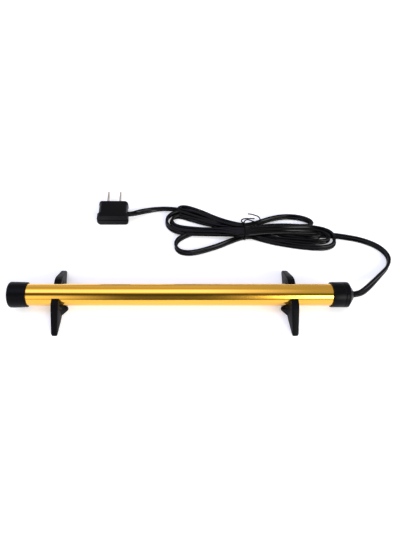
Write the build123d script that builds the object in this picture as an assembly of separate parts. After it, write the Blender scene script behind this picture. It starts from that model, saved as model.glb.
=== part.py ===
from build123d import *
import math
import os

# A free-standing heating rod: an anodised aluminium tube with push-on end caps, held off the shelf by two
# plastic foot brackets, and a flat twin cord in a tied hank that ends in a snap-together mains plug.
# Millimetres. X runs along the rod with the cord at +X, +Y points to the cord's side, +Z is up.
# The origin is on the resting surface, under the middle of the rod.

# ---- Rod ----
tube_od = 20.0
tube_wall = 1.2
tube_visible = 272.0            # bare tube between the two caps
axis_height = 13.7              # tube axis above the resting surface
push_gap = 0.05                 # radial gap round a pushed-on or pushed-in piece

# ---- End caps ----
blind_cap_length = 17.0
blind_cap_overlap = 14.0        # how far the tube goes into the cap
blind_cap_mouth_r = 11.3
blind_cap_end_r = 11.8
blind_cap_end_round = 1.8
cord_cap_length = 15.3          # from the mouth to the shoulder of the nose
cord_cap_overlap = 12.0
cord_cap_r = 11.5
shoulder_step = 0.5
nose_length = 4.2
nose_tip_r = 5.2
cap_edge = 0.4

# ---- Mains cord ----
cord_width = 6.0                # flat twin cord, across both cores
cord_thickness = 3.0
cord_slot_gap = 0.15            # round the flat cord in a hole
cord_area = cord_width * cord_thickness - (1 - math.pi / 4) * cord_thickness ** 2
cord_r = round(math.sqrt(cord_area / math.pi), 2)    # round stand-in of the same section area

# ---- Heating wire and its supports inside the tube ----
end_plug_thickness = 4.0
liner_wall = 0.7
run_pitch = 7.2                 # between the two runs of the hairpin
turn_r = 3.4
turn_x = -133.0
heating_wire_r = 0.7
jacket_r = 2.2
jacket_gap = 0.05
live_jacket_end_x = 72.0
neutral_jacket_end_x = 98.0
spacer_thickness = 4.0
left_spacer_x = -110.0
middle_spacer_x = -25.0
right_spacer_x = 60.0

# ---- Joints between the heating wire and the cord ----
sleeve_length = 15.0
sleeve_wall = 0.5
crimp_length = 11.0
crimp_r = 1.7
fuse_length = 11.0
fuse_r = 2.0
fuse_lead_r = 0.55
conductor_r = 0.55
core_insulation_r = 1.25
core_pitch = 3.0
core_end_x = 132.8              # where the cord's two cores part
clamp_length = 6.0
clamp_r = 4.6

# ---- Foot brackets ----
left_bracket_x = -110.9
right_bracket_x = 100.2
bracket_thickness = 6.5         # at the rod
foot_thickness = 5.1            # at a foot's tip
foot_reach = 34.5               # from the rod's axis to a foot's tip
foot_tip_height = 2.0
foot_tip_round = 1.3
shoulder_y = 17.6
shoulder_height = 16.8
crown_y = 12.8
crown_height = 19.6
bracket_height = 19.9
slope_round = 5.0
cradle_gap = 0.05               # radial running clearance on the tube
wing_reach = 5.0
wing_height = 3.0               # at its free end
wing_root_height = 12.5         # where it meets the plate
wing_bend_reach = 2.0           # of the steep part of its top
wing_bend_height = 6.0
wing_near_y = 6.2
wing_far_y = 8.2
wing_root_y = 14.0

# ---- Cord hank and its tie ----
hank_height = 8.8
tie_x = 66.7
tie_wire_r = 0.5
tie_gap = 0.04
tie_corner_r = 3.0
tie_low_y = 73.4
tie_high_y = 92.4
tie_groove_depth = 1.15
tie_groove_width = 1.4
lead_out_end_x = 157.8
lead_out_end_y = 78.6
plug_lead_end_x = -3.0
plug_lead_end_y = 113.6

# ---- Plug ----
plug_x = -68.7
plug_near_y = 94.2
plug_height = 14.0
shell_length = 19.3
shell_half_width = 15.0
shell_wall = 1.9
shell_back = 2.5
flange_length = 5.3
flange_step = 1.3
side_bevel = 2.8
core_gap = 0.15
core_length = 7.6               # behind the face plate
face_plate_gap = 0.05
face_plate_thickness = 1.55
face_plate_step = 0.4
cord_entry_y = 102.8
cord_tail_length = 23.0
blade_spacing = 12.7
blade_thickness = 1.5
blade_width = 6.35
blade_length = 17.9             # in front of the plug's face
blade_tail = 3.6                # behind the pivot pin
pivot_depth = 4.5               # of the pivot pin, behind the plug's face
pivot_r = 0.8
pivot_gap = 0.06
trunnion_length = 1.15
pocket_gap = 0.25
spread_angle = 15.0             # of each blade, with the core out of its shell

# ---- Places worked out from the sizes above ----
rod_length = blind_cap_length + tube_visible + cord_cap_length + nose_length
rod_left_x = -rod_length / 2
left_mouth_x = rod_left_x + blind_cap_length
right_mouth_x = left_mouth_x + tube_visible
shoulder_x = right_mouth_x + cord_cap_length
nose_tip_x = shoulder_x + nose_length
tube_left_x = left_mouth_x - blind_cap_overlap
tube_right_x = right_mouth_x + cord_cap_overlap
liner_left_x = tube_left_x + end_plug_thickness
liner_right_x = tube_right_x - end_plug_thickness
tube_r = tube_od / 2
inner_r = tube_r - tube_wall - push_gap
liner_bore_r = inner_r - liner_wall
run_y = run_pitch / 2
fuse_sleeve_x = live_jacket_end_x + sleeve_length
live_sleeve_x = fuse_sleeve_x + sleeve_length
shell_mouth_y = plug_near_y + shell_length
core_front_y = shell_mouth_y + face_plate_gap
core_back_y = core_front_y - core_length
plug_face_y = core_front_y + face_plate_thickness
plug_mid_z = plug_height / 2
pivot_y = plug_face_y - pivot_depth


# ---------------------------------------------------------------- shared shapes ----

def bar_x(radius, x0, x1, y=0.0, z=axis_height):
    """A round bar parallel to X."""
    return Pos((x0 + x1) / 2, y, z) * Rot(0, 90, 0) * Cylinder(radius, x1 - x0)


def sleeve_x(outer_r, bore_r, x0, x1, y=0.0):
    """A round sleeve parallel to X, at the height of the rod's axis."""
    return bar_x(outer_r, x0, x1, y) - bar_x(bore_r, x0 - 1, x1 + 1, y)


def flat_bar_x(width, thickness, x0, x1, y=0.0, z=axis_height):
    """A bar with rounded edges parallel to X, its width along Y."""
    section = Plane.YZ.offset(x0) * Pos(y, z) * SlotOverall(width, thickness)
    return extrude(section, amount=x1 - x0)


def cord_slot_x(x0, x1, y=0.0, z=axis_height):
    """The hole that the flat cord passes through."""
    grow = 2 * cord_slot_gap
    return flat_bar_x(cord_width + grow, cord_thickness + grow, x0, x1, y, z)


def block(x0, x1, y0, y1, z0, z1):
    """A box between two corners."""
    return Pos((x0 + x1) / 2, (y0 + y1) / 2, (z0 + z1) / 2) * Box(x1 - x0, y1 - y0, z1 - z0)


def upright(points, z0, z1):
    """A plan outline raised from z0 to z1."""
    return extrude(Plane.XY.offset(z0) * make_face(Polyline(*points, close=True)), amount=z1 - z0)


def turned(profile):
    """A solid turned about the rod's axis. profile holds (x, radius) points."""
    points = [(x, 0, axis_height + radius) for x, radius in profile]
    return revolve(make_face(Polyline(*points, close=True)), Axis((0, 0, axis_height), (1, 0, 0)))


def corner_radii(points):
    """Each corner's radius: 0.45 of its shorter run, over the tangent of half the turn."""
    radii = []
    for a, b, c in zip(points, points[1:], points[2:]):
        before, after = Vector(*b) - Vector(*a), Vector(*c) - Vector(*b)
        half_turn = math.radians(before.get_angle(after)) / 2
        radii.append(0.45 * min(before.length, after.length) / math.tan(half_turn))
    return radii


def tube_along(points, radii, radius):
    """A round bar along straight runs joined by tangent arcs, and the length of its path."""
    path = FilletPolyline(*points, radius=radii)
    section = Plane(origin=path @ 0, z_dir=path % 0) * Circle(radius)
    return sweep(section, path=path), path.length


def mains_cord(name, points):
    """A round stand-in for the flat cord, checked against its section times its length."""
    radii = corner_radii(points)
    tube, length = tube_along(points, radii, cord_r)
    ratio = tube.volume / (math.pi * cord_r ** 2 * length)
    print(name, "length", round(length, 1), "smallest bend", round(min(radii), 1), "volume ratio", round(ratio, 4))
    return tube


# ---------------------------------------------------------------- rod ----

def make_heater_tube():
    return sleeve_x(tube_r, tube_r - tube_wall, tube_left_x, tube_right_x)


def make_blind_end_cap():
    seat_r = tube_r + push_gap
    cap = turned([
        (rod_left_x, 0), (rod_left_x, blind_cap_end_r), (left_mouth_x - cap_edge, blind_cap_mouth_r),
        (left_mouth_x, blind_cap_mouth_r - cap_edge), (left_mouth_x, seat_r),
        (tube_left_x, seat_r), (tube_left_x, 0)])
    end_rim = cap.edges().filter_by(GeomType.CIRCLE).sort_by(Axis.X)[0]
    return fillet(end_rim, blind_cap_end_round)


def make_cord_end_cap():
    seat_r = tube_r + push_gap
    cap = turned([
        (right_mouth_x, seat_r), (right_mouth_x, cord_cap_r - cap_edge), (right_mouth_x + cap_edge, cord_cap_r),
        (shoulder_x - cap_edge, cord_cap_r), (shoulder_x, cord_cap_r - shoulder_step),
        (nose_tip_x, nose_tip_r), (nose_tip_x, 0), (tube_right_x, 0), (tube_right_x, seat_r)])
    return cap - cord_slot_x(tube_right_x - 1, nose_tip_x + 1)


def make_left_end_plug():
    return bar_x(inner_r, tube_left_x, liner_left_x)


def make_right_end_plug():
    return bar_x(inner_r, liner_right_x, tube_right_x) - cord_slot_x(liner_right_x - 1, tube_right_x + 1)


def make_tube_liner():
    return sleeve_x(inner_r, liner_bore_r, liner_left_x, liner_right_x)


# ---------------------------------------------------------------- heating wire ----

def hairpin(radius, live_end_x, neutral_end_x):
    """A round bar down one run, round the turn at the blind end, and back along the other run."""
    far_x = turn_x - run_y
    points = [
        (live_end_x, run_y, axis_height), (far_x, run_y, axis_height),
        (far_x, -run_y, axis_height), (neutral_end_x, -run_y, axis_height)]
    return tube_along(points, [turn_r, turn_r], radius)[0]


def make_heating_wire():
    bare_end = 7.0
    return hairpin(heating_wire_r, live_jacket_end_x + bare_end, neutral_jacket_end_x + bare_end)


def make_wire_jacket():
    outer = hairpin(jacket_r, live_jacket_end_x, neutral_jacket_end_x)
    return outer - hairpin(heating_wire_r + jacket_gap, live_jacket_end_x + 1, neutral_jacket_end_x + 1)


def make_spacer(x):
    """A disc across the liner with a hole for each run of the heating wire."""
    x0, x1 = x - spacer_thickness / 2, x + spacer_thickness / 2
    disc = bar_x(liner_bore_r - push_gap, x0, x1)
    for y in (run_y, -run_y):
        disc -= bar_x(jacket_r + jacket_gap, x0 - 1, x1 + 1, y)
    return disc


# ---------------------------------------------------------------- joints in the wiring ----

def make_crimp(sleeve_start_x, y):
    """A crimped tube in the middle of its sleeve."""
    x0 = sleeve_start_x + (sleeve_length - crimp_length) / 2
    return sleeve_x(crimp_r, heating_wire_r + jacket_gap, x0, x0 + crimp_length, y)


def make_sleeve(start_x, y, covered_r):
    return sleeve_x(covered_r + push_gap + sleeve_wall, covered_r + push_gap, start_x, start_x + sleeve_length, y)


def make_thermal_fuse():
    """A can with an axial lead at each end."""
    x0 = fuse_sleeve_x + (sleeve_length - fuse_length) / 2
    can = bar_x(fuse_r, x0, x0 + fuse_length, run_y)
    return can + bar_x(fuse_lead_r, x0 - 9.0, x0 + fuse_length + 9.0, run_y)


def core_points(side, end_x):
    """The way of one core from the end of the cord to its crimp. side is +1 or -1."""
    near_y, far_y = side * core_pitch / 2, side * run_y
    return [
        (core_end_x, near_y, axis_height), (core_end_x - 4.5, near_y, axis_height),
        (core_end_x - 11.5, far_y, axis_height), (end_x, far_y, axis_height)]


def make_conductor(side, sleeve_end_x):
    points = core_points(side, sleeve_end_x - 7.0)
    return tube_along(points, corner_radii(core_points(side, sleeve_end_x)), conductor_r)[0]


def make_core(side, sleeve_end_x):
    points = core_points(side, sleeve_end_x)
    radii = corner_radii(points)
    bore = tube_along(points, radii, conductor_r + jacket_gap)[0]
    return tube_along(points, radii, core_insulation_r)[0] - bore


def make_cord_end():
    """The flat cord from the rod's nose to where its cores part."""
    return flat_bar_x(cord_width, cord_thickness, core_end_x, nose_tip_x)


def make_cord_clamp():
    """The collar on the cord that stops it being pulled out through the end plug."""
    collar = bar_x(clamp_r, liner_right_x - clamp_length, liner_right_x)
    return collar - flat_bar_x(cord_width + 0.1, cord_thickness + 0.1, 120.0, 150.0)


# ---------------------------------------------------------------- foot brackets ----

def make_bracket(x, inward):
    """A foot plate across the rod. inward is +1 or -1, the side that its two low wings are on."""
    half = [(foot_reach, 0), (foot_reach, foot_tip_height), (shoulder_y, shoulder_height),
            (crown_y, crown_height), (5.0, bracket_height)]
    outline = half + [(-y, z) for y, z in reversed(half)]
    face = make_face(Polyline(*outline, close=True))
    bends = face.vertices().filter_by(lambda v: v.Y > 10)
    plate = extrude(Plane.YZ.offset(x - bracket_thickness / 2) * fillet(bends, slope_round), amount=bracket_thickness)
    plate &= upright(bracket_plan(x, inward), -1, bracket_height + 1)
    tips = plate.edges().filter_by(Axis.Z).filter_by(lambda e: abs(e.center().Y) > foot_reach - 1)
    plate = fillet(tips, foot_tip_round)
    for side in (1, -1):
        plate += make_wing(x, inward, side)
    return plate - bar_x(tube_r + cradle_gap, x - 20, x + 20)


def bracket_plan(x, inward):
    """The plate seen from above: flat on its outer side, and thinner towards the feet on its inner side."""
    outer_x = x - inward * bracket_thickness / 2
    half = [(outer_x, foot_reach + 1), (outer_x + inward * foot_thickness, foot_reach + 1),
            (outer_x + inward * foot_thickness, foot_reach), (outer_x + inward * bracket_thickness, shoulder_y)]
    return half + [(px, -py) for px, py in reversed(half)]


def make_wing(x, inward, side):
    """One wing inside the foot of the plate, falling away from it. side is the side of the rod that it is on."""
    root_x = x + inward * (bracket_thickness / 2 - 1)
    wall_x = x + inward * bracket_thickness / 2
    bend_x = wall_x + inward * wing_bend_reach
    end_x = wall_x + inward * wing_reach
    plan = [(root_x, wing_near_y), (end_x, wing_near_y), (end_x, wing_far_y),
            (wall_x, wing_root_y), (root_x, wing_root_y)]
    fall = [(root_x, 0), (end_x, 0), (end_x, wing_height), (bend_x, wing_bend_height),
            (wall_x, wing_root_height), (root_x, wing_root_height)]
    wing = upright([(px, side * py) for px, py in plan], 0, wing_root_height)
    return wing & extrude(Plane.XZ * make_face(Polyline(*fall, close=True)), amount=wing_root_y + 1, both=True)


# ---------------------------------------------------------------- cord and hank ----

def make_power_cord():
    """The cord from the rod's nose down to the shelf and round to the hank."""
    return mains_cord("power_cord", [
        (nose_tip_x, 0, axis_height), (nose_tip_x + 14.95, 0, axis_height), (nose_tip_x + 30.25, 16.5, 6.0),
        (nose_tip_x + 46.25, 35.0, 2.3), (nose_tip_x + 52.25, 58.0, 2.3), (nose_tip_x + 35.75, 75.0, 2.3),
        (nose_tip_x + 16.75, lead_out_end_y, 2.3), (lead_out_end_x, lead_out_end_y, 2.3)])


def make_plug_lead():
    """The cord from the plug's side to the hank."""
    return mains_cord("plug_lead", [
        (plug_x + shell_half_width, cord_entry_y, plug_mid_z), (-43.6, cord_entry_y, plug_mid_z),
        (-30.0, 111.6, 2.3), (-15.0, plug_lead_end_y, 2.3), (plug_lead_end_x, plug_lead_end_y, 2.3)])


def make_cord_hank():
    """The bundle of turns as one solid of its outer shape, with a groove round its waist for the tie."""
    left_lobe = [
        (62.0, tie_high_y), (50.0, 94.5), (38.0, 99.0), (22.6, 108.0), (12.0, 113.5), (4.0, 117.0),
        (plug_lead_end_x, 117.0), (plug_lead_end_x, 110.4), (-10.6, 106.5), (-14.4, 97.0), (-11.4, 86.5),
        (-4.6, 79.0), (-5.6, 64.0), (-1.8, 56.6), (6.0, 53.6), (18.0, 55.4), (34.0, 60.5), (48.0, 67.0),
        (62.0, tie_low_y)]
    right_lobe = [
        (72.0, tie_low_y), (95.4, 67.6), (123.7, 61.6), (134.5, 59.9), (145.5, 60.1), (153.0, 63.6),
        (lead_out_end_x, 71.0), (lead_out_end_x, 82.0), (148.0, 87.0), (140.0, 92.0), (135.0, 100.0),
        (128.0, 104.3), (111.5, 106.6), (97.0, 104.4), (84.0, 99.0), (72.0, tie_high_y)]
    hank = upright(left_lobe + right_lobe, 0, hank_height)
    groove = block(tie_x - tie_groove_width / 2, tie_x + tie_groove_width / 2, 60, 110, -5, 20)
    waist = tie_outline(tie_groove_depth, tie_corner_r - tie_wire_r - tie_gap)
    return hank - (groove - extrude(waist, amount=5, both=True))


def tie_outline(inset, corner_r):
    """The waist's outline across the hank at the tie, drawn in by inset."""
    width, height = tie_high_y - tie_low_y - 2 * inset, hank_height - 2 * inset
    middle = Pos((tie_low_y + tie_high_y) / 2, hank_height / 2)
    return Plane.YZ.offset(tie_x) * middle * RectangleRounded(width, height, corner_r)


def make_wire_tie():
    """A wire round the hank's waist with its twisted end lying on top."""
    inset = tie_groove_depth - tie_wire_r - tie_gap
    loop = tie_outline(inset, tie_corner_r).face().outer_wire()
    section = Plane(origin=loop @ 0, z_dir=loop % 0) * Circle(tie_wire_r)
    ring = sweep(section, path=loop)
    tail_z = hank_height + 0.9
    tail = tube_along([
        (tie_x, 88.5, hank_height - inset), (tie_x, 88.5, tail_z), (tie_x + 2.5, 93.0, tail_z),
        (tie_x + 11.0, 95.0, tail_z)], [0.6, 2.0], 0.9 * tie_wire_r)[0]
    return ring + tail


# ---------------------------------------------------------------- plug ----

def plug_slab(half_width, y0, y1):
    """A slab of the plug's cross-section: flat top and bottom, bevelled long edges, upright sides."""
    z_low, z_high = 4.4, plug_height - 4.4
    half = [(half_width - side_bevel, 0), (half_width - 0.8, 1.7), (half_width, z_low),
            (half_width, z_high), (half_width - 0.8, plug_height - 1.7), (half_width - side_bevel, plug_height)]
    outline = half + [(-px, pz) for px, pz in reversed(half)]
    face = make_face(Polyline(*outline, close=True))
    return extrude(Plane.XZ.offset(-y1) * Pos(plug_x, 0) * face, amount=y1 - y0)


def make_plug_shell():
    """The outer shell, open at the blades' end, with a flange at its closed end and a hole for the cord."""
    shell = plug_slab(shell_half_width, plug_near_y, shell_mouth_y)
    shell += plug_slab(shell_half_width + flange_step, plug_near_y, plug_near_y + flange_length)
    inside = shell_half_width - shell_wall - 0.2
    shell -= block(plug_x - inside, plug_x + inside, plug_near_y + shell_back, shell_mouth_y + 1,
                   shell_wall, plug_height - shell_wall)
    return shell - cord_slot_x(plug_x + inside - 1, plug_x + shell_half_width + 1, cord_entry_y, plug_mid_z)


def blade_pocket(side):
    """The room a blade needs in the core, from parallel out to the spread angle. side is +1 or -1."""
    x = plug_x + side * blade_spacing / 2
    near = blade_thickness / 2 + pocket_gap
    lean = math.tan(math.radians(spread_angle))
    front, back = pivot_depth + 1, pivot_y - core_back_y + 1
    plan = [(-near, front), (near + lean * front + 0.05, front), (near + 0.05, 0), (near + 0.05, -back),
            (-near - lean * back - 0.05, -back), (-near - 0.05, 0)]
    points = [(x + side * px, pivot_y + py) for px, py in plan]
    half_height = blade_width / 2 + pocket_gap
    return upright(points, plug_mid_z - half_height, plug_mid_z + half_height)


def pivot_pin(side, radius, length):
    return Pos(plug_x + side * blade_spacing / 2, pivot_y, plug_mid_z) * Cylinder(radius, length)


def make_plug_core():
    """The block that slides into the shell: a face plate, and a body with a pocket for each blade."""
    core = plug_slab(shell_half_width + face_plate_step, core_front_y, plug_face_y)
    inside = shell_half_width - shell_wall - 0.2 - core_gap
    core += block(plug_x - inside, plug_x + inside, core_back_y, core_front_y + 0.5,
                  shell_wall + core_gap, plug_height - shell_wall - core_gap)
    for side in (1, -1):
        core -= blade_pocket(side)
        core -= pivot_pin(side, pivot_r + pivot_gap, blade_width + 2 * trunnion_length + 0.2)
    return core


def make_blade(side):
    """A contact blade with a trunnion above and below that it turns on."""
    x = plug_x + side * blade_spacing / 2
    blade = block(x - blade_thickness / 2, x + blade_thickness / 2, pivot_y - blade_tail, plug_face_y + blade_length,
                  plug_mid_z - blade_width / 2, plug_mid_z + blade_width / 2)
    tips = blade.edges().filter_by(Axis.X).filter_by(lambda e: e.center().Y > plug_face_y)
    blade = fillet(tips, 1.4)
    return blade + pivot_pin(side, pivot_r, blade_width + 2 * trunnion_length)


def make_plug_cord_end():
    """The flat cord inside the shell, lying across the back of the core."""
    x1 = plug_x + shell_half_width
    return flat_bar_x(cord_width, cord_thickness, x1 - cord_tail_length, x1, cord_entry_y, plug_mid_z)


# ---------------------------------------------------------------- all the parts ----

live_sleeve_end_x = live_sleeve_x + sleeve_length
neutral_sleeve_end_x = neutral_jacket_end_x + sleeve_length

parts = {
    "heater_tube": make_heater_tube(),
    "blind_end_cap": make_blind_end_cap(),
    "cord_end_cap": make_cord_end_cap(),
    "left_end_plug": make_left_end_plug(),
    "right_end_plug": make_right_end_plug(),
    "tube_liner": make_tube_liner(),
    "heating_wire": make_heating_wire(),
    "wire_jacket": make_wire_jacket(),
    "left_spacer": make_spacer(left_spacer_x),
    "middle_spacer": make_spacer(middle_spacer_x),
    "right_spacer": make_spacer(right_spacer_x),
    "fuse_crimp": make_crimp(live_jacket_end_x, run_y),
    "fuse_crimp_sleeve": make_sleeve(live_jacket_end_x, run_y, crimp_r),
    "thermal_fuse": make_thermal_fuse(),
    "fuse_sleeve": make_sleeve(fuse_sleeve_x, run_y, fuse_r),
    "live_crimp": make_crimp(live_sleeve_x, run_y),
    "live_crimp_sleeve": make_sleeve(live_sleeve_x, run_y, crimp_r),
    "neutral_crimp": make_crimp(neutral_jacket_end_x, -run_y),
    "neutral_crimp_sleeve": make_sleeve(neutral_jacket_end_x, -run_y, crimp_r),
    "live_conductor": make_conductor(1, live_sleeve_end_x),
    "neutral_conductor": make_conductor(-1, neutral_sleeve_end_x),
    "live_core": make_core(1, live_sleeve_end_x),
    "neutral_core": make_core(-1, neutral_sleeve_end_x),
    "cord_end": make_cord_end(),
    "cord_clamp": make_cord_clamp(),
    "left_bracket": make_bracket(left_bracket_x, 1),
    "right_bracket": make_bracket(right_bracket_x, -1),
    "power_cord": make_power_cord(),
    "cord_hank": make_cord_hank(),
    "plug_lead": make_plug_lead(),
    "wire_tie": make_wire_tie(),
    "plug_shell": make_plug_shell(),
    "plug_core": make_plug_core(),
    "live_blade": make_blade(1),
    "neutral_blade": make_blade(-1),
    "plug_cord_end": make_plug_cord_end(),
}

os.makedirs("parts", exist_ok=True)
for name, shape in parts.items():
    box = shape.bounding_box()
    print(f"{name:22s} volume {shape.volume:9.1f}  solids {len(shape.solids())}  "
          f"X {box.min.X:8.2f} {box.max.X:8.2f}  Y {box.min.Y:7.2f} {box.max.Y:7.2f}  Z {box.min.Z:6.2f} {box.max.Z:6.2f}")
    export_step(shape, f"parts/{name}.step")
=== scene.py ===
import bpy
import bmesh
import math
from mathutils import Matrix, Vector


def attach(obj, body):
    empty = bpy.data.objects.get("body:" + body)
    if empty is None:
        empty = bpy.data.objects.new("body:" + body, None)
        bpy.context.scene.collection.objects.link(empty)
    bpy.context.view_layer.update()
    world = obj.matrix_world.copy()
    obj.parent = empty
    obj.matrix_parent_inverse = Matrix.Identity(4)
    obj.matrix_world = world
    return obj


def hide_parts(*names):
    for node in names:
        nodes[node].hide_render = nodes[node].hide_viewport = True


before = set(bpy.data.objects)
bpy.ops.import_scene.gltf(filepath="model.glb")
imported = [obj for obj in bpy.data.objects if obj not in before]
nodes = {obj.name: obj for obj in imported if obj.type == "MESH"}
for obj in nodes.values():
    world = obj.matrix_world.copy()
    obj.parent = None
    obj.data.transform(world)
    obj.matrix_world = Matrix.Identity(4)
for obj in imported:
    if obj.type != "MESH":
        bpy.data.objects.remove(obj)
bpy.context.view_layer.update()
scene = bpy.context.scene


# ---------------------------------------------------------------- Table, light tent and camera ----
# The rod is laid out on a white table inside a light tent of white cloth. A cool strip runs over the rod, a
# dark slot lies in front of it, and a soft box shines on its cord end.

def linear(hex_colour):
    """An sRGB hex colour as the linear values that shaders take."""
    channels = [int(hex_colour[i:i + 2], 16) / 255 for i in (1, 3, 5)]
    return [c / 12.92 if c <= 0.04045 else ((c + 0.055) / 1.055) ** 2.4 for c in channels] + [1.0]


def add_node(tree, kind, inputs=None, **settings):
    """Adds a node. settings are its own properties, inputs its sockets' values or linked sockets."""
    made = tree.nodes.new(kind)
    for name, value in settings.items():
        setattr(made, name, value)
    for socket, value in (inputs or {}).items():
        if isinstance(value, bpy.types.NodeSocket):
            tree.links.new(value, made.inputs[socket])
        else:
            made.inputs[socket].default_value = value
    return made


def set_stops(ramp, stops):
    """Gives a colour ramp its stops, each (position, grey or colour)."""
    while len(ramp.color_ramp.elements) > 1:
        ramp.color_ramp.elements.remove(ramp.color_ramp.elements[0])
    for index, (position, colour) in enumerate(stops):
        element = ramp.color_ramp.elements[0] if index == 0 else ramp.color_ramp.elements.new(position)
        element.position = position
        element.color = (colour, colour, colour, 1) if isinstance(colour, (int, float)) else colour


tent = bpy.data.worlds.new("light tent")
scene.world = tent
tent.use_nodes = True
tree = tent.node_tree
tree.nodes.clear()
outward = add_node(tree, "ShaderNodeTexCoord")
direction = add_node(tree, "ShaderNodeSeparateXYZ", {0: outward.outputs["Generated"]})
to_front = add_node(tree, "ShaderNodeMath", {0: direction.outputs["Y"], 1: -1.0}, operation="MULTIPLY")
front_angle = add_node(tree, "ShaderNodeMath", {0: to_front.outputs[0], 1: direction.outputs["Z"]},
                       operation="ARCTAN2")
across = add_node(tree, "ShaderNodeMapRange", {
    0: front_angle.outputs[0], 1: -math.pi, 2: math.pi, 3: 0.0, 4: 1.0})


def tent_stop(degrees):
    """Where a direction stands on the tent's ramps. 0 degrees is straight up, 90 the horizon in front."""
    return 0.5 + degrees / 360


def tent_side(stops):
    """One side of the tent as a ramp over the angle from straight up to the front."""
    ramp = add_node(tree, "ShaderNodeValToRGB", {0: across.outputs[0]})
    set_stops(ramp, [(tent_stop(degrees), grey) for degrees, grey in stops])
    return ramp.outputs[0]


def fade(start, end, shape=1.0):
    """From 0 to 1 as a direction turns from start to end along the rod. shape over 1 starts more slowly."""
    part = add_node(tree, "ShaderNodeMapRange", {0: direction.outputs["X"], 1: start, 2: end, 3: 0.0, 4: 1.0})
    return add_node(tree, "ShaderNodeMath", {0: part.outputs[0], 1: shape}, operation="POWER").outputs[0]


SOFT_BOX_STRENGTH = 9.0
COOL_STRIP = (1.85, 1.95, 2.9, 1.0)   # the strip over the rod, a cooler light than the cloth
blind_side = tent_side([
    (-110, 0.75), (-64, 0.75), (-48, 0.58), (-34, 0.65), (-24, 1.0), (-14, COOL_STRIP), (4, COOL_STRIP),
    (13, 0.9), (19, 0.10), (33, 0.07), (40, 0.5), (46, 1.1), (54, 1.6), (66, 1.5), (80, 1.0), (95, 0.8)])
middle = tent_side([
    (-110, 0.45), (-84, 0.45), (-66, 0.75), (-48, 0.70), (-34, 0.60), (-24, 0.9), (-14, COOL_STRIP),
    (5, COOL_STRIP), (14, 1.1), (22, 0.2), (30, 0.05), (44, 0.06), (56, 0.14), (68, 0.15), (80, 0.11),
    (92, 0.14)])
cord_side = tent_side([
    (-110, 0.25), (-84, 0.50), (-64, 0.55), (-34, 0.52), (-10, 0.58), (6, 0.55), (16, 0.45), (22, 0.15),
    (34, 0.12), (40, 0.50), (50, 0.8), (95, 0.75)])
soft_box = tent_side([(40, 0.0), (47, 1.0), (66, 1.0), (77, 0.0)])
glow = add_node(tree, "ShaderNodeMix", {0: fade(-0.09, -0.26, 1.5), 6: middle, 7: blind_side},
                data_type="RGBA")
glow = add_node(tree, "ShaderNodeMix", {0: fade(0.09, 0.29), 6: glow.outputs[2], 7: cord_side},
                data_type="RGBA")
box_light = add_node(tree, "ShaderNodeMath", {0: soft_box, 1: fade(0.10, 0.30, 4.6)}, operation="MULTIPLY")
box_light = add_node(tree, "ShaderNodeMath", {0: box_light.outputs[0], 1: SOFT_BOX_STRENGTH},
                     operation="MULTIPLY")
glow = add_node(tree, "ShaderNodeMix", {0: 1.0, 6: glow.outputs[2], 7: box_light.outputs[0]},
                data_type="RGBA", blend_type="ADD")
# Seen directly, past the table's edge, the tent is a plain pale backdrop.
seen_directly = add_node(tree, "ShaderNodeLightPath").outputs["Is Camera Ray"]
glow = add_node(tree, "ShaderNodeMix", {0: seen_directly, 6: glow.outputs[2], 7: linear("#FFFFFF")},
                data_type="RGBA")
background = add_node(tree, "ShaderNodeBackground", {"Color": glow.outputs[2], "Strength": 1.0})
add_node(tree, "ShaderNodeOutputWorld", {"Surface": background.outputs[0]})

table_mesh = bpy.data.meshes.new("table")
table_mesh.from_pydata([(-6, -6, 0), (6, -6, 0), (6, 6, 0), (-6, 6, 0)], [], [(0, 1, 2, 3)])
table = bpy.data.objects.new("table", table_mesh)
scene.collection.objects.link(table)
paper = bpy.data.materials.new("white backdrop paper")
paper.use_nodes = True
paper_shader = paper.node_tree.nodes["Principled BSDF"]
paper_shader.inputs["Base Color"].default_value = linear("#EDEDEC")
paper_shader.inputs["Roughness"].default_value = 0.9
paper_shader.inputs["Specular IOR Level"].default_value = 0.1
paper_shader.inputs["Emission Color"].default_value = linear("#FFFFFF")
paper_shader.inputs["Emission Strength"].default_value = 0.36
table_mesh.materials.append(paper)

camera_data = bpy.data.cameras.new("camera")
camera_data.sensor_fit = "HORIZONTAL"
camera_data.sensor_width = 36.0
camera_data.lens = 40.88
camera_data.shift_x = 0.0787
camera_data.shift_y = -0.0041
camera = bpy.data.objects.new("camera", camera_data)
camera.location = (-0.0109, -0.2160, 0.3626)
camera.rotation_euler = (math.radians(90 - 54.49), 0, 0)
scene.collection.objects.link(camera)
scene.camera = camera
scene.view_settings.view_transform = "Standard"


# ---------------------------------------------------------------- Mains cord ----
# A light flat twin cord, 6 by 3 mm: two stranded cores side by side in glossy black PVC, with a groove
# between them. It leaves the rod's nose flat, turns on edge along the table, and is folded nine times through
# the tie. Each point is (x, y, z) in millimetres, then how far the cord leans from flat, in degrees.

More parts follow.
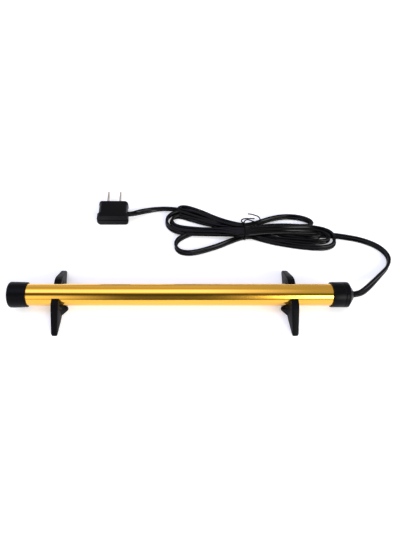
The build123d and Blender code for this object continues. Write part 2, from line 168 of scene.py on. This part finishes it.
CORD_WIDTH, CORD_THICKNESS = 6.0, 3.0
cord_route = [
    # from the nose down to the table and round to the hank
    (154.25, 0.0, 13.7, 180), (160.5, 1.0, 13.5, 180), (166.0, 4.4, 11.4, 170), (174.6, 12.0, 8.0, 150),
    (183.4, 20.4, 5.4, 130), (192.0, 28.8, 3.8, 110), (200.0, 36.4, 3.0, 100), (204.8, 44.4, 3.0, 90),
    (205.4, 52.2, 3.0, 85), (201.4, 59.8, 3.0, 80), (196.0, 64.9, 3.0, 75), (189.2, 68.9, 2.9, 70),
    (181.6, 72.1, 2.9, 65), (173.8, 74.2, 2.8, 60), (164.4, 76.2, 2.7, 50), (155.0, 77.8, 2.5, 40),
    # first pass, into the outer middle loop
    (140.0, 78.6, 2.0, 20), (115.0, 80.0, 1.5, 0), (90.0, 82.4, 1.5, 0), (66.7, 83.5, 1.5, 0),
    (52.0, 86.0, 1.6, 5), (38.0, 91.0, 1.9, 15), (26.5, 97.4, 2.3, 35), (13.5, 104.2, 2.5, 40),
    (4.5, 108.6, 2.7, 55), (-4.8, 108.6, 3.0, 85), (-12.8, 101.4, 3.0, 90), (-12.8, 91.6, 3.0, 95),
    (-6.4, 84.2, 3.0, 115), (5.0, 80.4, 3.6, 140), (20.0, 78.9, 4.4, 155), (36.0, 78.6, 4.4, 165),
    (52.0, 78.2, 4.3, 180),
    # second pass, into the outermost right loop
    (66.7, 76.9, 4.3, 180), (76.0, 75.6, 3.0, 165), (86.0, 72.2, 2.4, 145), (98.0, 68.4, 2.4, 145),
    (111.0, 65.5, 2.4, 145), (124.0, 63.2, 2.4, 140), (135.5, 61.6, 2.7, 130), (146.5, 61.4, 3.0, 125),
    (154.8, 65.0, 3.0, 120), (157.4, 71.6, 3.2, 110), (155.6, 78.6, 4.2, 80), (147.4, 83.2, 5.2, 45),
    (134.0, 85.2, 6.0, 30), (118.0, 84.4, 6.4, 20), (100.0, 83.8, 6.7, 10), (83.0, 83.2, 6.9, 0),
    # third pass, into the lowest left loop
    (66.7, 81.2, 7.1, 0), (52.0, 83.6, 5.2, 0), (40.0, 85.4, 2.8, 5), (28.0, 85.2, 1.8, 10),
    (16.0, 82.6, 2.0, 20), (5.0, 77.2, 2.5, 35), (-2.8, 70.6, 2.9, 60), (-4.2, 62.8, 3.0, 90),
    (-0.2, 56.8, 2.9, 115), (8.0, 54.9, 2.6, 135), (18.5, 56.8, 2.4, 145), (29.0, 60.4, 2.4, 150),
    (40.0, 64.8, 2.2, 155), (51.5, 70.8, 1.9, 165),
    # fourth pass, into the inner right loop
    (66.7, 77.5, 1.5, 180), (84.0, 76.6, 1.7, 175), (103.0, 72.8, 2.2, 155), (123.0, 70.4, 2.5, 140),
    (140.0, 68.9, 2.7, 125), (149.8, 70.0, 3.0, 105), (152.8, 74.4, 3.4, 90), (148.8, 78.4, 4.2, 60),
    (138.0, 80.6, 5.0, 40), (122.0, 80.8, 5.6, 25), (104.0, 80.2, 6.2, 10), (84.0, 78.8, 6.7, 0),
    # fifth pass, into the inner middle loop
    (66.7, 75.9, 7.1, 0), (54.0, 78.8, 6.6, 0), (40.0, 82.2, 5.6, 10), (24.0, 83.2, 4.6, 20),
    (8.0, 85.6, 3.6, 45), (-3.4, 88.6, 3.1, 50), (-8.4, 94.8, 3.0, 60), (-6.4, 101.6, 3.0, 75),
    (1.4, 103.8, 3.0, 105), (12.0, 99.8, 2.9, 130), (24.0, 95.6, 2.6, 145), (38.0, 91.6, 2.2, 160),
    (52.0, 89.9, 1.8, 175),
    # sixth pass, into the short right loop
    (66.7, 89.5, 1.5, 180), (84.0, 86.8, 1.5, 180), (103.0, 84.2, 1.8, 170), (120.0, 82.4, 2.5, 140),
    (130.0, 82.8, 3.0, 100), (140.0, 82.4, 3.1, 90), (144.6, 78.0, 3.2, 85), (139.6, 73.8, 3.5, 70),
    (120.0, 75.6, 3.9, 45), (102.0, 79.2, 4.1, 20), (84.0, 83.0, 4.3, 0),
    # seventh pass, into the narrow top left loop
    (66.7, 88.3, 4.3, 0), (54.0, 89.0, 4.3, 5), (40.0, 91.6, 4.5, 20), (26.0, 96.6, 4.6, 35),
    (12.0, 102.4, 4.5, 50), (3.6, 106.2, 4.3, 75), (-1.2, 110.2, 4.3, 95), (1.4, 114.0, 4.6, 110),
    (7.6, 113.4, 5.2, 125), (15.0, 110.0, 5.8, 135), (25.0, 104.8, 6.2, 145), (38.0, 96.6, 6.6, 160),
    (52.0, 90.6, 6.9, 175),
    # eighth pass, into the top right loop
    (66.7, 86.6, 7.1, 180), (77.0, 90.4, 5.6, 170), (86.0, 95.4, 3.4, 160), (97.0, 100.6, 2.4, 150),
    (110.0, 103.4, 2.4, 145), (123.0, 102.8, 2.4, 140), (133.6, 99.0, 2.9, 120), (138.6, 93.2, 3.6, 95),
    (135.4, 87.6, 4.8, 60), (124.0, 86.6, 5.6, 35), (108.0, 88.0, 5.6, 15), (86.0, 87.6, 5.2, 0),
    # ninth pass, and away to the plug
    (66.7, 82.6, 4.3, 0), (54.0, 86.8, 3.2, 5), (42.0, 92.6, 2.2, 15), (30.0, 99.4, 2.4, 35),
    (18.0, 106.0, 2.7, 50), (8.0, 110.6, 3.0, 75), (-3.0, 113.2, 3.0, 95), (-14.0, 114.2, 3.0, 95),
    (-24.0, 113.4, 3.0, 85), (-33.0, 111.2, 3.3, 60), (-40.0, 108.2, 4.6, 35), (-45.8, 105.0, 6.0, 15),
    (-49.8, 103.0, 6.9, 0), (-53.7, 102.8, 7.0, 0)]


def spline_samples(points, per_run):
    """The points of a smooth spline over the given points, read from a curve without thickness."""
    curve = bpy.data.curves.new("route", "CURVE")
    curve.dimensions = "3D"
    curve.resolution_u = per_run
    spline = curve.splines.new("NURBS")
    spline.points.add(len(points) - 1)
    for point, place in zip(spline.points, points):
        point.co = (*place, 1)
    spline.order_u = 3
    spline.use_endpoint_u = True
    carrier = bpy.data.objects.new("route", curve)
    scene.collection.objects.link(carrier)
    bpy.context.view_layer.update()
    line = bpy.data.meshes.new_from_object(carrier)
    samples = [vertex.co.copy() for vertex in line.vertices]
    bpy.data.objects.remove(carrier)
    bpy.data.curves.remove(curve)
    bpy.data.meshes.remove(line)
    return samples


def twin_section():
    """The cord's outline across its width: two round cores with a groove where they join."""
    radius = CORD_THICKNESS / 2000
    outline = []
    for side in (1, -1):
        for step in range(11):
            angle = math.radians(-150 + 30 * step)
            outline.append((side * (radius + radius * math.cos(angle)), side * radius * math.sin(angle)))
    return outline


def mesh_object(name, vertices, faces):
    """A new object at the origin from vertices in metres."""
    mesh = bpy.data.meshes.new(name)
    mesh.from_pydata(vertices, [], faces)
    mesh.validate()
    mesh.polygons.foreach_set("use_smooth", [True] * len(mesh.polygons))
    made = bpy.data.objects.new(name, mesh)
    scene.collection.objects.link(made)
    return made


def swept(name, samples, leans, outline):
    """A closed bar with the given outline along samples, turned about its own line by leans in radians."""
    vertices, faces, count = [], [], len(outline)
    for index, place in enumerate(samples):
        ahead = samples[min(index + 1, len(samples) - 1)] - samples[max(index - 1, 0)]
        ahead.normalize()
        side = ahead.cross(Vector((0, 0, 1))).normalized()
        above = side.cross(ahead)
        across_cord = side * math.cos(leans[index]) + above * math.sin(leans[index])
        through_cord = above * math.cos(leans[index]) - side * math.sin(leans[index])
        vertices += [place + across_cord * u + through_cord * v for u, v in outline]
    for ring in range(len(samples) - 1):
        for step in range(count):
            a, b = ring * count + step, ring * count + (step + 1) % count
            faces.append((a, a + count, b + count, b))
    faces.append(tuple(range(count)))
    faces.append(tuple(reversed(range(len(vertices) - count, len(vertices)))))
    return mesh_object(name, vertices, faces)


SAMPLES_PER_RUN = 7
places = [(x / 1000, y / 1000, z / 1000) for x, y, z, _ in cord_route]
cord_line = spline_samples(places, SAMPLES_PER_RUN)
cord_leans = [math.radians(point.x) for point in spline_samples(
    [(lean, 0, 0) for _, _, _, lean in cord_route], SAMPLES_PER_RUN)]
cord = swept("mains_cord", cord_line, cord_leans, twin_section())


def start_material(name, **sockets):
    """A new material and its principled shader, with the shader's own sockets set."""
    material = bpy.data.materials.new(name)
    material.use_nodes = True
    shader = material.node_tree.nodes["Principled BSDF"]
    for socket, value in sockets.items():
        shader.inputs[socket.replace("_", " ")].default_value = value
    return material, material.node_tree, shader


def object_scale(tree, x, y, z):
    """Object coordinates counted in units of x, y and z millimetres."""
    coordinates = add_node(tree, "ShaderNodeTexCoord").outputs["Object"]
    return add_node(tree, "ShaderNodeMapping", {
        "Vector": coordinates, "Scale": (1000 / x, 1000 / y, 1000 / z)}).outputs["Vector"]


def grain(tree, shader, size, dark, light, rough, relief):
    """A noise of the given size in mm as slight changes of colour, roughness and height on a shader."""
    sizes = size if isinstance(size, tuple) else (size, size, size)
    field = add_node(tree, "ShaderNodeTexNoise", {
        "Vector": object_scale(tree, *sizes), "Scale": 1.0, "Detail": 3.0})
    tint = add_node(tree, "ShaderNodeValToRGB", {0: field.outputs[0]})
    set_stops(tint, [(0.3, linear(dark)), (0.7, linear(light))])
    tree.links.new(tint.outputs[0], shader.inputs["Base Color"])
    sheen = add_node(tree, "ShaderNodeMapRange", {0: field.outputs[0], 3: rough[0], 4: rough[1]})
    tree.links.new(sheen.outputs[0], shader.inputs["Roughness"])
    bump = add_node(tree, "ShaderNodeBump", {
        "Height": field.outputs[0], "Strength": relief, "Distance": 0.0002})
    tree.links.new(bump.outputs[0], shader.inputs["Normal"])
    return tint


# Extruded PVC: dense black, glossy, with slight waves from the die. The weak reflection keeps it dark.
pvc, tree, shader = start_material("extruded PVC, black", IOR=1.53, Specular_IOR_Level=0.13)
grain(tree, shader, 5.0, "#020203", "#060607", (0.07, 0.14), 0.08)
cord.data.materials.append(pvc)
for name in ("cord_end", "plug_cord_end"):
    nodes[name].data.materials.clear()
    nodes[name].data.materials.append(pvc)

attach(cord, "root")
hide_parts("power_cord", "cord_hank", "plug_lead")


# ---------------------------------------------------------------- Wire tie ----
# One length of soft iron wire in black plastic, bent once round the waist of the hank by hand. One end lies
# over the top in a small loop, the other comes up behind the turns and curls back to the left.

tie_route = [
    (77.6, 94.4, 9.5), (72.5, 94.2, 10.0), (67.6, 94.0, 10.2), (64.0, 92.6, 9.9), (63.5, 90.2, 9.5),
    (65.8, 89.4, 9.3), (66.9, 86.4, 9.3), (66.8, 80.0, 9.3), (66.6, 74.0, 9.2), (66.3, 72.3, 6.0),
    (66.3, 72.1, 2.0), (66.5, 74.4, 0.6), (66.8, 84.0, 0.6), (67.2, 92.0, 0.7), (67.4, 93.4, 3.4),
    (67.9, 93.9, 7.4), (70.4, 93.4, 9.5), (74.4, 91.6, 9.5), (78.6, 90.4, 8.4), (82.6, 91.8, 7.8),
    (84.0, 95.4, 8.0), (82.0, 98.8, 8.3), (77.8, 100.4, 8.5), (75.0, 101.6, 8.5), (71.5, 102.0, 8.4)]


def bent_wire(name, points, radius):
    """A round wire along a smooth line over the given points, in millimetres."""
    curve = bpy.data.curves.new(name, "CURVE")
    curve.dimensions = "3D"
    curve.resolution_u = 8
    curve.bevel_depth = radius / 1000
    curve.bevel_resolution = 3
    curve.use_fill_caps = True
    spline = curve.splines.new("NURBS")
    spline.points.add(len(points) - 1)
    for point, (x, y, z) in zip(spline.points, points):
        point.co = (x / 1000, y / 1000, z / 1000, 1)
    spline.order_u = 3
    spline.use_endpoint_u = True
    carrier = bpy.data.objects.new(name, curve)
    scene.collection.objects.link(carrier)
    bpy.context.view_layer.update()
    made = bpy.data.objects.new(name, bpy.data.meshes.new_from_object(carrier))
    bpy.data.objects.remove(carrier)
    bpy.data.curves.remove(curve)
    scene.collection.objects.link(made)
    return made


# Plastic-coated tie wire: soft black skin, duller than the cord.
tie_plastic, tree, shader = start_material("tie wire, black plastic skin", IOR=1.5, Specular_IOR_Level=0.06)
grain(tree, shader, 1.2, "#050506", "#0B0B0C", (0.40, 0.55), 0.15)
tie = bent_wire("bent_wire_tie", tie_route, 0.62)
tie.data.materials.clear()
tie.data.materials.append(tie_plastic)
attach(tie, "root")
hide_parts("wire_tie")


# ---------------------------------------------------------------- Tube ----
# Drawn aluminium tube, 20 mm across, bright dipped and anodised gold. Its two ends are pushed into the caps.

# Anodised aluminium: mirror-like gold metal under a hard clear oxide film, with faint lengthwise draw lines.
gold, tree, shader = start_material("anodised aluminium, gold", Metallic=1.0, Coat_Weight=0.5, Coat_IOR=1.77,
                                    Coat_Roughness=0.05)
grain(tree, shader, (60.0, 0.7, 0.7), "#ECAE2C", "#F4B834", (0.10, 0.15), 0.02)
nodes["heater_tube"].data.materials.clear()
nodes["heater_tube"].data.materials.append(gold)


# ---------------------------------------------------------------- End caps ----
# Two soft PVC caps, dip moulded, pushed over the tube's ends. The blind one is a plain cup with a rounded
# corner. The other narrows to a nose with a flat slot for the cord, and has two fine mould rings.

AXIS_HEIGHT = 13.7
TUBE_SEAT = 10.05
TURNED_SIDES = 96


def turned_tree():
    """Geometry Nodes that turn a profile: a line along the rod whose points carry their radius."""
    group = bpy.data.node_groups.new("turned about the rod", "GeometryNodeTree")
    group.interface.new_socket("Profile", in_out="INPUT", socket_type="NodeSocketGeometry")
    group.interface.new_socket("Sides", in_out="INPUT", socket_type="NodeSocketInt")
    group.interface.new_socket("Material", in_out="INPUT", socket_type="NodeSocketMaterial")
    group.interface.new_socket("Geometry", in_out="OUTPUT", socket_type="NodeSocketGeometry")
    given = group.nodes.new("NodeGroupInput")
    circle = add_node(group, "GeometryNodeCurvePrimitiveCircle", {
        "Resolution": given.outputs["Sides"], "Radius": 1.0})
    radius = add_node(group, "GeometryNodeInputRadius")
    skin = add_node(group, "GeometryNodeCurveToMesh", {
        "Curve": given.outputs["Profile"], "Profile Curve": circle.outputs["Curve"],
        "Scale": radius.outputs[0]})
    smooth = add_node(group, "GeometryNodeSetShadeSmooth", {"Geometry": skin.outputs[0]})
    real = add_node(group, "GeometryNodeRealizeInstances", {"Geometry": smooth.outputs[0]})
    coated = add_node(group, "GeometryNodeSetMaterial", {
        "Geometry": real.outputs[0], "Material": given.outputs["Material"]})
    add_node(group, "NodeGroupOutput", {"Geometry": coated.outputs[0]})
    return group


def turned(name, profile, material):
    """A piece turned about the rod's axis from (x, radius) points in millimetres, baked to a mesh."""
    curve = bpy.data.curves.new(name, "CURVE")
    curve.dimensions = "3D"
    spline = curve.splines.new("POLY")
    spline.points.add(len(profile) - 1)
    for index, (point, (x, radius)) in enumerate(zip(spline.points, profile)):
        point.co = ((x + 0.0004 * index) / 1000, 0, AXIS_HEIGHT / 1000, 1)
        point.radius = max(radius, 0.01) / 1000
    carrier = bpy.data.objects.new(name, curve)
    scene.collection.objects.link(carrier)
    modifier = carrier.modifiers.new("turned", "NODES")
    modifier.node_group = turning
    sockets = {item.name: item.identifier for item in turning.interface.items_tree}
    modifier[sockets["Sides"]] = TURNED_SIDES
    modifier[sockets["Material"]] = material
    bpy.context.view_layer.update()
    evaluated = carrier.evaluated_get(bpy.context.evaluated_depsgraph_get())
    made = bpy.data.objects.new(name, bpy.data.meshes.new_from_object(evaluated))
    bpy.data.objects.remove(carrier)
    bpy.data.curves.remove(curve)
    scene.collection.objects.link(made)
    return made


def rounded(x, radius, bend, start, end, steps=5):
    """Profile points round a corner: an arc of radius bend about (x, radius), angles in degrees."""
    angles = [math.radians(start + (end - start) * step / steps) for step in range(steps + 1)]
    return [(x + bend * math.cos(angle), radius + bend * math.sin(angle)) for angle in angles]


# Dip-moulded PVC: soft black with a dull satin skin and a very fine orange-peel.
cap_pvc, tree, shader = start_material("dip-moulded PVC, black", IOR=1.53, Specular_IOR_Level=0.06)
grain(tree, shader, 1.6, "#040405", "#08080A", (0.30, 0.42), 0.2)
turning = turned_tree()

blind_cap = turned("blind_end_cap_cup", [
    (-154.25, 0.0), (-154.25, 4.0), (-154.2, 9.0), *rounded(-151.85, 9.4, 2.35, 178, 100),
    (-150.0, 11.72), (-146.0, 11.62), (-141.0, 11.45), *rounded(-137.75, 10.8, 0.5, 88, 0),
    (-137.25, TUBE_SEAT), (-139.0, TUBE_SEAT)], cap_pvc)
mould_rings = [point for x in (145.2, 147.9)
               for point in ((x - 0.3, 11.46), (x - 0.1, 11.38), (x + 0.1, 11.38), (x + 0.3, 11.46))]
cord_cap = turned("cord_end_cap_nose", [
    (136.5, TUBE_SEAT), (134.75, TUBE_SEAT), *rounded(135.25, 10.9, 0.5, 180, 92), *mould_rings,
    (149.0, 11.48), *rounded(149.2, 10.6, 0.85, 88, 25), (151.6, 8.6), (153.2, 6.3),
    *rounded(153.55, 4.6, 0.7, 40, 0), (154.25, 3.3), (154.2, 3.18), (150.5, 3.15)], cap_pvc)
for piece, node in ((blind_cap, "blind_end_cap"), (cord_cap, "cord_end_cap")):
    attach(piece, "root")
    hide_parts(node)


# ---------------------------------------------------------------- Foot brackets ----
# Two injection-moulded ABS foot plates that clip round the tube, each with two wings. Every edge has a small
# radius from the mould.

def softened(name, node, width, segments=3):
    """A CAD node's shape as a new piece with rounded edges. width is the rounding in millimetres."""
    source = nodes[node]
    shell = bmesh.new()
    shell.from_mesh(source.data)
    shell.transform(source.matrix_world)
    bmesh.ops.remove_doubles(shell, verts=shell.verts, dist=2e-6)
    bmesh.ops.dissolve_limit(shell, angle_limit=math.radians(1.5), verts=shell.verts, edges=shell.edges)
    mesh = bpy.data.meshes.new(name)
    shell.to_mesh(mesh)
    shell.free()
    mesh.polygons.foreach_set("use_smooth", [True] * len(mesh.polygons))
    made = bpy.data.objects.new(name, mesh)
    scene.collection.objects.link(made)
    bevel = made.modifiers.new("mould radius", "BEVEL")
    bevel.width = width / 1000
    bevel.segments = segments
    bevel.limit_method = "ANGLE"
    bevel.angle_limit = math.radians(30)
    bevel.harden_normals = True
    return made


# Moulded ABS: black with a fine spark-eroded grain that leaves a soft satin sheen.
abs_black, tree, shader = start_material("moulded ABS, black", IOR=1.54, Specular_IOR_Level=0.05)
grain(tree, shader, 0.6, "#040405", "#08080A", (0.40, 0.55), 0.3)
for node, body in (("left_bracket", "left_bracket"), ("right_bracket", "right_bracket")):
    bracket = softened(node + "_plate", node, 0.7)
    bracket.data.materials.append(abs_black)
    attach(bracket, body)
    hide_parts(node)


# ---------------------------------------------------------------- Plug ----
# A snap-together mains plug: an ABS shell with a flange at its closed end, a core with the face plate that
# slides into it, and two flat brass blades on pivots. The shell's two halves meet in a line at mid-height,
# and the shade of that joint is painted on.

PLUG_MID_HEIGHT = 7.0
plug_abs, tree, shader = start_material("moulded ABS, black, painted seam shade", IOR=1.54, Specular_IOR_Level=0.05)
skin = grain(tree, shader, 0.8, "#040405", "#09090A", (0.28, 0.40), 0.2)
# Along the line where the two halves meet, the colour is painted pure black and the reflection is taken away:
# this is painted shade of the joint.
height = add_node(tree, "ShaderNodeSeparateXYZ", {
    0: add_node(tree, "ShaderNodeTexCoord").outputs["Object"]}).outputs["Z"]
seam = add_node(tree, "ShaderNodeMath", {0: height, 1: PLUG_MID_HEIGHT / 1000, 2: 0.00045},
                operation="COMPARE")
seam_painted_shade = add_node(tree, "ShaderNodeMix", {0: seam.outputs[0], 6: skin.outputs[0], 7: linear("#000000")},
                data_type="RGBA")
tree.links.new(seam_painted_shade.outputs[2], shader.inputs["Base Color"])
seam_shade_no_reflection = add_node(tree, "ShaderNodeMapRange", {0: seam.outputs[0], 3: 0.07, 4: 0.0})
tree.links.new(seam_shade_no_reflection.outputs[0], shader.inputs["Specular IOR Level"])
for node, body, radius in (("plug_shell", "root", 0.5), ("plug_core", "plug_core", 0.3)):
    half = softened(node + "_moulding", node, radius)
    half.data.materials.append(plug_abs)
    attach(half, body)
    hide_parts(node)

# Nickel-plated brass: pale warm metal with fine stamping scratches along the blade.
nickel, tree, shader = start_material("nickel-plated brass", Metallic=1.0)
grain(tree, shader, (0.4, 8.0, 0.4), "#B5A79C", "#CFC3B8", (0.22, 0.34), 0.06)
for node in ("live_blade", "neutral_blade"):
    blade = softened(node + "_contact", node, 0.25, 2)
    blade.data.materials.append(nickel)
    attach(blade, node)
    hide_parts(node)


# ---------------------------------------------------------------- Inside the tube ----
# What the rod hides: the insulated heating wire on its ceramic spacers, crimped joints with the thermal fuse
# in glass-fibre sleeves, and the silicone plugs that seal both ends.

inside = [
    # name, dark and light tint, roughness, metal, grain size in mm, nodes
    ("silicone rubber, red", "#8A2A1C", "#A03828", (0.55, 0.7), 0.0, 1.2,
     ("left_end_plug", "right_end_plug", "cord_clamp")),
    ("glass fibre, bare", "#D8D3C0", "#EDE9DA", (0.7, 0.85), 0.0, (4.0, 0.5, 0.5),
     ("tube_liner", "fuse_crimp_sleeve", "fuse_sleeve", "live_crimp_sleeve", "neutral_crimp_sleeve")),
    ("silicone-coated glass braid", "#6E2417", "#8C3323", (0.5, 0.65), 0.0, (1.5, 0.5, 0.5),
     ("wire_jacket",)),
    ("steatite ceramic", "#E6E2D6", "#F4F1E8", (0.35, 0.5), 0.0, 0.8,
     ("left_spacer", "middle_spacer", "right_spacer")),
    ("nickel-chrome wire", "#8E8C8A", "#A6A4A1", (0.3, 0.45), 1.0, (3.0, 0.3, 0.3), ("heating_wire",)),
    ("tinned steel", "#B6B5B2", "#CDCCC8", (0.25, 0.4), 1.0, 1.0,
     ("fuse_crimp", "live_crimp", "neutral_crimp", "thermal_fuse")),
    ("stranded copper", "#B8704A", "#D08A5E", (0.25, 0.4), 1.0, (2.0, 0.3, 0.3),
     ("live_conductor", "neutral_conductor")),
    ("core insulation, black PVC", "#0A0A0B", "#141415", (0.35, 0.5), 0.0, 1.5,
     ("live_core", "neutral_core"))]
for name, dark, light, rough, metal, size, used_on in inside:
    material, tree, shader = start_material(name, Metallic=metal)
    grain(tree, shader, size, dark, light, rough, 0.2)
    for node in used_on:
        nodes[node].data.materials.clear()
        nodes[node].data.materials.append(material)
